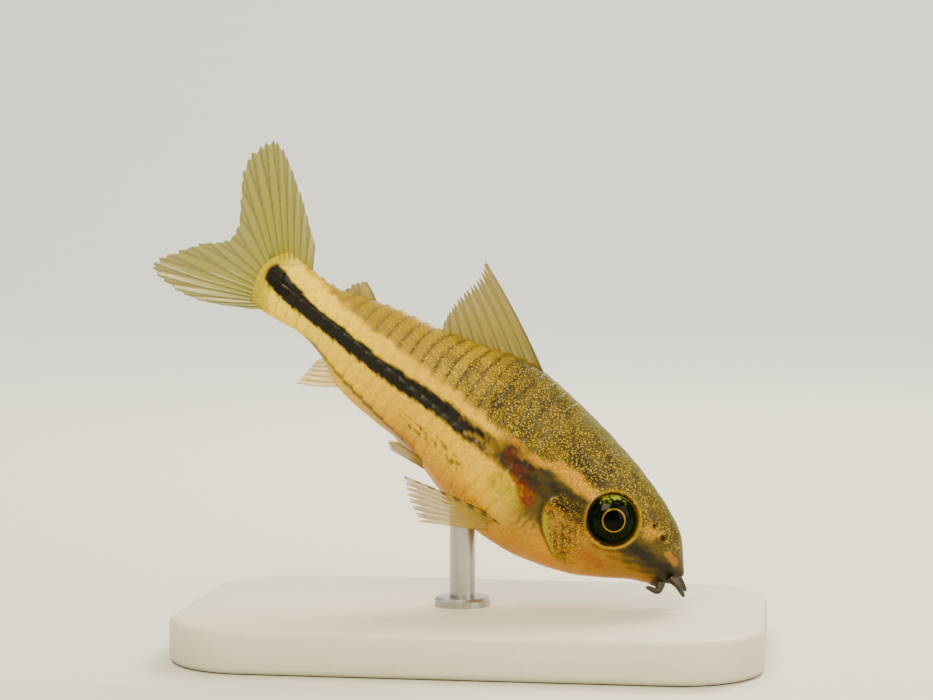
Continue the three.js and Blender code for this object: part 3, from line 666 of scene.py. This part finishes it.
def sheet_mesh(name, points, caps=()):
    """A tube of four-sided faces on a grid of points, each row a ring, its ends capped if asked."""
    rows, columns = points.shape[:2]
    i, j = np.meshgrid(np.arange(rows - 1), np.arange(columns), indexing="ij")
    k = (j + 1) % columns
    ring, next_ring = i * columns, (i + 1) * columns
    faces = np.stack([ring + j, ring + k, next_ring + k, next_ring + j], -1)
    faces = faces.reshape(-1, 4).tolist()
    corners = points.reshape(-1, 3).tolist()
    for row, cap in caps:
        corners.append(list(cap))
        ring = [row * columns + c for c in range(columns)]
        faces += [(a, b, len(corners) - 1) for a, b in zip(ring, ring[1:] + ring[:1])]
    mesh = bpy.data.meshes.new(name)
    mesh.from_pydata(corners, [], faces)
    piece = bpy.data.objects.new(name, mesh)
    bpy.context.collection.objects.link(piece)
    bpy.ops.object.select_all(action="DESELECT")
    bpy.context.view_layer.objects.active = piece
    piece.select_set(True)
    bpy.ops.object.mode_set(mode="EDIT")
    bpy.ops.mesh.select_all(action="SELECT")
    bpy.ops.mesh.normals_make_consistent(inside=False)
    bpy.ops.object.mode_set(mode="OBJECT")
    return piece


def add_layer(piece, name, values, is_colour=False):
    """Stores a number or a colour at each point of a piece, for its finish to read."""
    kind, key = ("FLOAT_COLOR", "color") if is_colour else ("FLOAT", "value")
    layer = piece.data.attributes.new(name, kind, "POINT")
    layer.data.foreach_set(key, np.ascontiguousarray(values).ravel())


skin_caps = [
    (0, fish_to_world([0, 0, NOSE["up"]])),
    (SKIN_ROWS - 1, fish_to_world([-SKIN_END - 0.2, 0, 0.2])),
]
skin = sheet_mesh("skin", fish_to_world(fish_points), skin_caps)


def with_ends(values):
    """A grid's values in the order of the mesh's points, with those of the two end points."""
    flat = values.reshape(SKIN_ROWS * SKIN_COLUMNS, -1)
    return np.concatenate([flat, flat[:1], flat[-1:]])


coat_rgba = np.concatenate([coat, np.ones((*at.shape, 1))], axis=-1)
add_layer(skin, "coat", with_ends(coat_rgba), is_colour=True)
add_layer(skin, "dots", with_ends(dots))
add_layer(skin, "shine", with_ends(shine))

DETAIL = {"grain": 0.00012, "cloud": 0.0007, "speck": 0.000085, "deep": 0.00002}
skin_finish = Finish(
    "wet_skin",
    Subsurface_Weight=0.10,
    Subsurface_Radius=(0.00022, 0.00013, 0.00005),
    Subsurface_Scale=1.0,
    Coat_Weight=0.10,
    Coat_Roughness=0.14,
    Specular_IOR_Level=0.20,
)
coat_node = skin_finish.node("Attribute", {"attribute_name": "coat"}, {})
dots_node = skin_finish.node("Attribute", {"attribute_name": "dots"}, {})
shine_node = skin_finish.node("Attribute", {"attribute_name": "shine"}, {})
grain = skin_finish.noise(DETAIL["grain"], 3, 0.6)
cloud = skin_finish.noise(DETAIL["cloud"], 3, 0.6)
shade = skin_finish.mix(
    skin_finish.ramp(grain, 0.25, 0.75), (0.35, 0.33, 0.3, 1), (1.35, 1.35, 1.3, 1))
shaded = skin_finish.mix(0.5, coat_node["Color"], shade, "MULTIPLY")
cells = skin_finish.node("TexVoronoi", {"feature": "F1"}, {
    "Vector": skin_finish.place(), "Scale": 1 / DETAIL["speck"], "Randomness": 1.0})
speck = skin_finish.ramp(0.62 - cells["Distance"], 0.20, 0.36) * dots_node["Fac"]
speck = speck * skin_finish.ramp(cloud, 0.26, 0.50) * (cells["Color"] * 1.1 + 0.2)
skin_finish.drive(
    "Base Color",
    skin_finish.mix(speck * 0.75, shaded, paint(224, 188, 14)),
)
skin_finish.drive("Metallic", speck * 0.35 + shine_node["Fac"] * 0.4)
skin_finish.drive("Roughness", 0.46 - shine_node["Fac"] * 0.12 + grain * 0.12)
skin_finish.bump(grain + cells["Distance"] * 0.5, DETAIL["deep"], 0.5)
finish_piece(skin, skin_finish, "skin", "head", "trunk", "tail", smooth=False)
skin.data.shade_smooth()

# Each eye is a wet, glossy ball that stands a little out of its socket: a black pupil with a
# thin gold ring, a dark green iris with a painted silver-green highlight at its top, and a gold
# rim.
EYE_FACES = {"segments": 72, "ring_count": 56}
PUPIL = 0.40
RING = {"full": 0.02, "fades": 0.035, "ends": 0.06}
for word, hand in (("right", -1), ("left", 1)):
    mirror = np.array([1, hand, 1])
    centre, facing = seat_on_skin(EYE["at"], EYE["up"], EYE["lean"])
    centre = (centre + facing * (EYE["bulge"] - EYE["depth"])) * mirror
    facing = fish_to_world(facing * mirror) - SNOUT
    bpy.ops.object.select_all(action="DESELECT")
    bpy.ops.mesh.primitive_uv_sphere_add(
        radius=1,
        location=fish_to_world(centre),
        rotation=Vector(facing).to_track_quat("Z", "Y").to_euler(),
        scale=(EYE["radius"] * PART, EYE["radius"] * PART, EYE["depth"] * PART),
        **EYE_FACES,
    )
    ball = start_piece("eyeball_" + word)
    corners = np.array([v.co[:] for v in ball.data.vertices])
    radial, height = around(corners, fish_to_world(centre), facing / np.linalg.norm(facing))
    radial = np.where(height > 0, radial / (EYE["radius"] * PART), 1)
    skyward = (corners - fish_to_world(centre))[:, 2] / (EYE["radius"] * PART)
    add_layer(ball, "radial", radial)
    add_layer(ball, "skyward", skyward)
    eye_finish = Finish(
        "wet_eye_" + word,
        Roughness=0.22,
        Specular_IOR_Level=0.02,
        Coat_Weight=0.09,
        Coat_Roughness=0.03,
    )
    radial_wire = eye_finish.node("Attribute", {"attribute_name": "radial"}, {})["Fac"]
    sky_wire = eye_finish.node("Attribute", {"attribute_name": "skyward"}, {})["Fac"]
    fleck = eye_finish.noise(0.00016, 3, 0.6)
    # The silver-green over the top of the iris is a painted highlight, strongest highest on the
    # ball.
    painted_top_highlight = eye_finish.ramp((sky_wire * 0.8 + fleck * 0.9) * 0.75, 0.76, 0.94)
    painted_top_highlight = painted_top_highlight * eye_finish.ramp(radial_wire, 0.62, 0.8)
    iris = eye_finish.mix(eye_finish.ramp(fleck, 0.35, 0.7), paint(2, 7, 0), paint(8, 20, 2))
    iris = eye_finish.mix(painted_top_highlight, iris, paint(160, 174, 50))
    iris = eye_finish.mix(eye_finish.ramp(radial_wire, 0.92, 0.97), iris, paint(120, 104, 10))
    ring = eye_finish.ramp(radial_wire, PUPIL, PUPIL + RING["full"]) * (
        1 - eye_finish.ramp(radial_wire, PUPIL + RING["fades"], PUPIL + RING["ends"]))
    iris = eye_finish.mix(ring * 0.6, iris, paint(190, 154, 10))
    pupil = 1 - eye_finish.ramp(radial_wire, PUPIL - 0.02, PUPIL)
    eye_finish.drive("Base Color", eye_finish.mix(pupil, iris, paint(2, 2, 2)))
    eye_finish.drive("Metallic", ring * 0.5 + painted_top_highlight * 0.3)
    finish_piece(ball, eye_finish, "eye", "eye_" + word, smooth=False)
    ball.data.shade_smooth()

# A fin is a thin clear membrane stretched over bony rays, which stand up as ridges on both
# faces, fork towards their tips and reach a little past the membrane. Its root is in the flesh.
FIN = {
    "per_ray": 12, "rows": 64, "membrane": 0.09, "ray": 0.34, "tip": 0.10,
    "spread": 0.24, "width": 0.15, "narrowing": 0.06, "ragged": 0.02, "pleat": 0.12,
    "segment": 0.10, "segments": 150,
}


def curve_through(stops, shares):
    """Points at shares from 0 to 1 of a smooth line through a few stops."""
    stops = np.array(stops, dtype=float)
    ends = np.vstack([2 * stops[0] - stops[1], stops, 2 * stops[-1] - stops[-2]])
    place = np.clip(shares, 0, 1) * (len(stops) - 1)
    i = np.minimum(place.astype(int), len(stops) - 2)
    t = (place - i)[..., None]
    a, b, c, d = ends[i], ends[i + 1], ends[i + 2], ends[i + 3]
    return 0.5 * (
        2 * b + (c - a) * t
        + (2 * a - 5 * b + 4 * c - d) * t**2
        + (3 * b - a - 3 * c + d) * t**3
    )


def fin_piece(name, root, edge, rays, look, nodes,
              bow=0.0, spine=0.0, notch=0.9, fork=0.5, sway=0.0, heel=0.5):
    """Builds one fin from its root line and its edge line, both given as (at, out, up) stops."""
    draw = np.random.default_rng(len(name) * 7 + rays)
    columns = (rays - 1) * FIN["per_ray"] + 1
    share, run = np.meshgrid(
        np.linspace(0, 1, columns), np.linspace(0, 1, FIN["rows"]), indexing="ij")
    cell = share * (rays - 1)
    nearest = np.rint(cell).astype(int)
    phase = cell - nearest
    spread = FIN["spread"] * ease(fork, 1, run) * (nearest > 0)
    width = FIN["width"] - FIN["narrowing"] * run
    ridge = np.maximum(hump(spread, width, phase), hump(-spread, width, phase))
    reach = notch + (1 - notch) * np.maximum(hump(0.22, 0.2, phase), hump(-0.22, 0.2, phase))
    reach = np.where(nearest == 0, 1, reach * (1 - FIN["ragged"] * draw.random(rays)[nearest]))
    reach *= 1 - FIN["ragged"] * np.abs(np.sin(cell * 9.7))
    v = run * reach
    flip = np.array([-1, 1, 1])
    root_line, edge_line = (curve_through(line, share) * flip for line in (root, edge))
    first, last, base = (np.array(p) * flip for p in (edge[0], edge[-1], root[0]))
    normal = np.cross(last - first, first - base)
    normal = normal / np.linalg.norm(normal)
    lead = (first - last) / np.linalg.norm(first - last)
    middle = root_line + (edge_line - root_line) * v[..., None]
    middle = middle + lead * (bow * 4 * v * (1 - v) * (1 - share))[..., None]
    wave = sway * v**2 * np.sin(share * 5 + 1) + FIN["pleat"] * v * np.sin(cell * 2 * math.pi)
    middle = middle + normal * wave[..., None]
    thick = FIN["membrane"] * (1 - 0.5 * v) + ridge * (FIN["ray"] + (FIN["tip"] - FIN["ray"]) * v)
    thick = thick * (1 + FIN["segment"] * ridge * np.sin(v * FIN["segments"]))
    thick = thick + heel * (1 - ease(0, 0.2, v))
    thick = thick + spine * (nearest == 0) * hump(0, 0.35, phase) * (1 - 0.8 * v)
    faces = [middle + normal * (thick * hand)[..., None] for hand in (1, -1)]
    ribbon = np.concatenate([faces[0], faces[1][:, ::-1]], axis=1)
    piece = sheet_mesh(name, fish_to_world(ribbon))
    bpy.ops.object.mode_set(mode="EDIT")
    bpy.ops.mesh.select_all(action="DESELECT")
    bpy.ops.mesh.select_non_manifold()
    bpy.ops.mesh.edge_face_add()
    bpy.ops.mesh.select_all(action="SELECT")
    bpy.ops.mesh.quads_convert_to_tris(quad_method="FIXED")
    bpy.ops.mesh.normals_make_consistent(inside=False)
    bpy.ops.object.mode_set(mode="OBJECT")
    rgba = look(ridge, v, share, nearest)
    add_layer(piece, "tint", np.concatenate([rgba, rgba[:, ::-1]], axis=1), is_colour=True)
    finish_piece(piece, fin_finish, "fin", *nodes, smooth=False)
    piece.data.shade_smooth()


fin_finish = Finish("fin_membrane", Roughness=0.3, Coat_Weight=0.3, Coat_Roughness=0.12)
tint_node = fin_finish.node("Attribute", {"attribute_name": "tint"}, {})
fin_cloud = fin_finish.noise(0.0005, 3)
fin_finish.drive("Base Color", fin_finish.mix(
    fin_cloud * 0.3, tint_node["Color"], paint(130, 112, 0)))
fin_finish.drive("Alpha", tint_node["Alpha"])
fin_finish.bump(fin_finish.noise(0.00008, 2), 0.000004, 0.4)


def fin_look(membrane, ray, clear, solid, dark, marks):
    """The colour and the opacity over a fin, from its rays' ridges and the run to the tips."""
    def look(ridge, v, share, nearest):
        blend_share = np.clip(ridge, 0, 1)[..., None]
        rgb = colour(*membrane) * (1 - blend_share) + colour(*ray) * blend_share
        opacity = clear + (solid - clear) * ridge
        opacity = opacity * (1 - 0.2 * v) + (1 - opacity) * (1 - ease(0.0, 0.22, v))
        mark = np.clip(marks(ridge, v, share, nearest), 0, 1)[..., None]
        rgb = rgb * (1 - mark) + colour(*dark) * mark
        opacity = np.maximum(opacity, mark[..., 0] * 0.95)
        return np.concatenate([rgb, np.clip(opacity, 0, 1)[..., None]], axis=-1)
    return look


# The dorsal fin stands up behind the nape, with a dark-edged spine along its front. It rises to
# a sharp tip, and its rear edge falls almost straight from there.
DORSAL_RAYS = 9


def dorsal_marks(ridge, v, share, nearest):
    front = (nearest == 0) * ridge * (1 - 0.4 * v)
    between = hump(0.5, 0.16, np.abs(share * (DORSAL_RAYS - 1) - nearest)) * (1 - ease(0.3, 0.6, v))
    return front * 0.9 + 0.5 * between


fin_piece(
    "dorsal_sail",
    [(40, 0, 14.5), (64, 0, 9)],
    [(66.9, 0, 28), (66.4, 0, 23.4), (67, 0, 18.8), (66.3, 0, 13.8)],
    DORSAL_RAYS,
    fin_look((142, 126, 0), (112, 94, 0), 0.88, 0.97, (26, 18, 0), dorsal_marks),
    ["dorsal_fin"],
    bow=0.8,
    spine=0.5,
    sway=0.5,
)


# The adipose fin is a small soft flap behind its own short spine, near the tail. The anal fin
# hangs below the body there, clear and a little larger.
def spine_marks(ridge, v, share, nearest):
    """Darkens a fin's spine, or its first ray, and nothing else."""
    return 0.5 * ridge * (nearest == 0)


fin_piece(
    "adipose_flap",
    [(76, 0, 6), (83.5, 0, 4)],
    [(83.2, 0, 10.9), (85, 0, 9.4), (85.6, 0, 7)],
    3,
    fin_look((150, 130, 0), (112, 94, 0), 0.86, 0.95, (50, 40, 0), spine_marks),
    ["adipose_fin"],
    bow=0.6,
    spine=0.3,
)
fin_piece(
    "anal_vane",
    [(73, 0, -7), (80, 0, -4.5)],
    [(82.8, 0, -13.6), (82.6, 0, -10), (82, 0, -7.6)],
    7,
    fin_look((222, 186, 20), (184, 150, 8), 0.62, 0.85, (90, 70, 0), spine_marks),
    ["anal_fin"],
    bow=0.6,
)


# The tail fin is deeply forked and clear yellowish, with fine dark flecks on its rays. The black
# side stripe ends on it, as a short dark patch at its root.
def tail_marks(ridge, v, share, nearest):
    flecks = ridge * (np.sin(v * 60 + nearest * 1.7) > 0.6) * ease(0.25, 0.5, v) * 0.3
    return flecks + 0.95 * hump(0.44, 0.07, share) * (1 - ease(0.08, 0.2, v))


fin_piece(
    "tail_fan",
    [(91, 0, 3), (98, 0, 4), (99, 0, 0.2), (98, 0, -3.8), (93, 0, -3)],
    [(95.5, 0, 10.4), (105, 0, 17.8), (114.2, 0, 22.6), (116.2, 0, 15), (110, 0, 3),
     (115, 0, -3.6), (120, 0, -12.2), (109.6, 0, -12.6), (98.4, 0, -7.2)],
    21,
    fin_look((140, 136, 0), (104, 100, 0), 0.85, 0.95, (14, 9, 0), tail_marks),
    ["caudal_fin"],
    notch=0.96,
    sway=0.8,
    heel=0.1,
)


# The breast fins spread out sideways behind the gills, each with a stout spine that is barred
# dark and rays dotted with brown. The belly fins are smaller and plainer.
def breast_marks(ridge, v, share, nearest):
    bars = (np.sin(v * 52 + nearest * 0.8) > 0.1) * ridge
    return np.where(nearest == 0, 0.85 * bars + 0.15 * ridge, 0.4 * bars * ease(0.1, 0.3, v))


for word, hand in (("right", -1), ("left", 1)):
    fin_piece(
        "breast_fan_" + word,
        [(31.5, hand * 8, -9.2), (33, hand * 7.5, -11)],
        [(53.2, hand * 22, -11.2), (51, hand * 18.5, -14.6), (46.5, hand * 14, -18)],
        8,
        fin_look((204, 174, 0), (158, 128, 0), 0.58, 0.92, (24, 14, 0), breast_marks),
        ["pectoral_fin_" + word],
        bow=0.8,
        spine=0.4,
        notch=0.86,
        fork=0.4,
    )
    fin_piece(
        "belly_fan_" + word,
        [(48, hand * 4.4, -10), (50, hand * 3.4, -10.6)],
        [(59.5, hand * 7, -9.6), (61.2, hand * 5.4, -10.8), (60, hand * 3.8, -12)],
        6,
        fin_look((196, 160, 4), (150, 118, 0), 0.6, 0.88, (80, 60, 0), spine_marks),
        ["pelvic_fin_" + word],
        bow=0.4,
    )

# Two soft brown barbels grow at each corner of the mouth: one hangs forwards, one curls back.
BARBELS = {
    "maxillary": [(1.6, 2.6, 0.6), (-0.2, 3.4, 0.4), (-2.4, 3.6, -0.6)],
    "rictal": [(2.6, 2.6, -1.4), (2.4, 3.4, -2.8), (4.6, 3.9, -3.4)],
}
BARBEL = {"rows": 36, "sides": 20, "root": 0.9, "tip": 0.3}
barbel_finish = Finish(
    "soft_barbel",
    Roughness=0.5,
    Coat_Weight=0.1,
    Coat_Roughness=0.15,
    Subsurface_Weight=0.1,
    Subsurface_Radius=(0.0004, 0.0002, 0.0001),
)
barbel_grain = barbel_finish.noise(0.00012, 3)
barbel_finish.drive("Base Color", barbel_finish.mix(
    barbel_finish.ramp(barbel_grain, 0.35, 0.65), paint(13, 7, 0), paint(48, 29, 0)))
barbel_finish.bump(barbel_grain, 0.00001, 0.6)
for word, hand in (("right", -1), ("left", 1)):
    for name, path in BARBELS.items():
        shares = np.linspace(0, 1, BARBEL["rows"])
        line = curve_through(path, shares) * np.array([-1, hand, 1])
        along = np.gradient(line, axis=0)
        along /= np.linalg.norm(along, axis=1)[:, None]
        sidewise = np.cross(along, [0, 1, 0.2])
        sidewise /= np.linalg.norm(sidewise, axis=1)[:, None]
        upright = np.cross(along, sidewise)
        taper = BARBEL["tip"] + (BARBEL["root"] - BARBEL["tip"]) * (1 - shares) ** 0.8
        rounded_tip = np.sqrt(1 - (np.maximum(shares - 0.9, 0) / 0.11) ** 2)
        taper *= rounded_tip * (1 + 0.04 * np.sin(shares * 60))
        angle = np.arange(BARBEL["sides"]) / BARBEL["sides"] * 2 * math.pi
        rings = (
            line[:, None] + taper[:, None, None] * (
                np.cos(angle)[None, :, None] * sidewise[:, None]
                + np.sin(angle)[None, :, None] * upright[:, None])
        )
        ends = [(0, fish_to_world(line[0])), (BARBEL["rows"] - 1, fish_to_world(line[-1]))]
        feeler = sheet_mesh("feeler_" + name + "_" + word, fish_to_world(rings), ends)
        finish_piece(feeler, barbel_finish, "barbel", "barbel_" + name + "_" + word, smooth=False)
        feeler.data.shade_smooth()
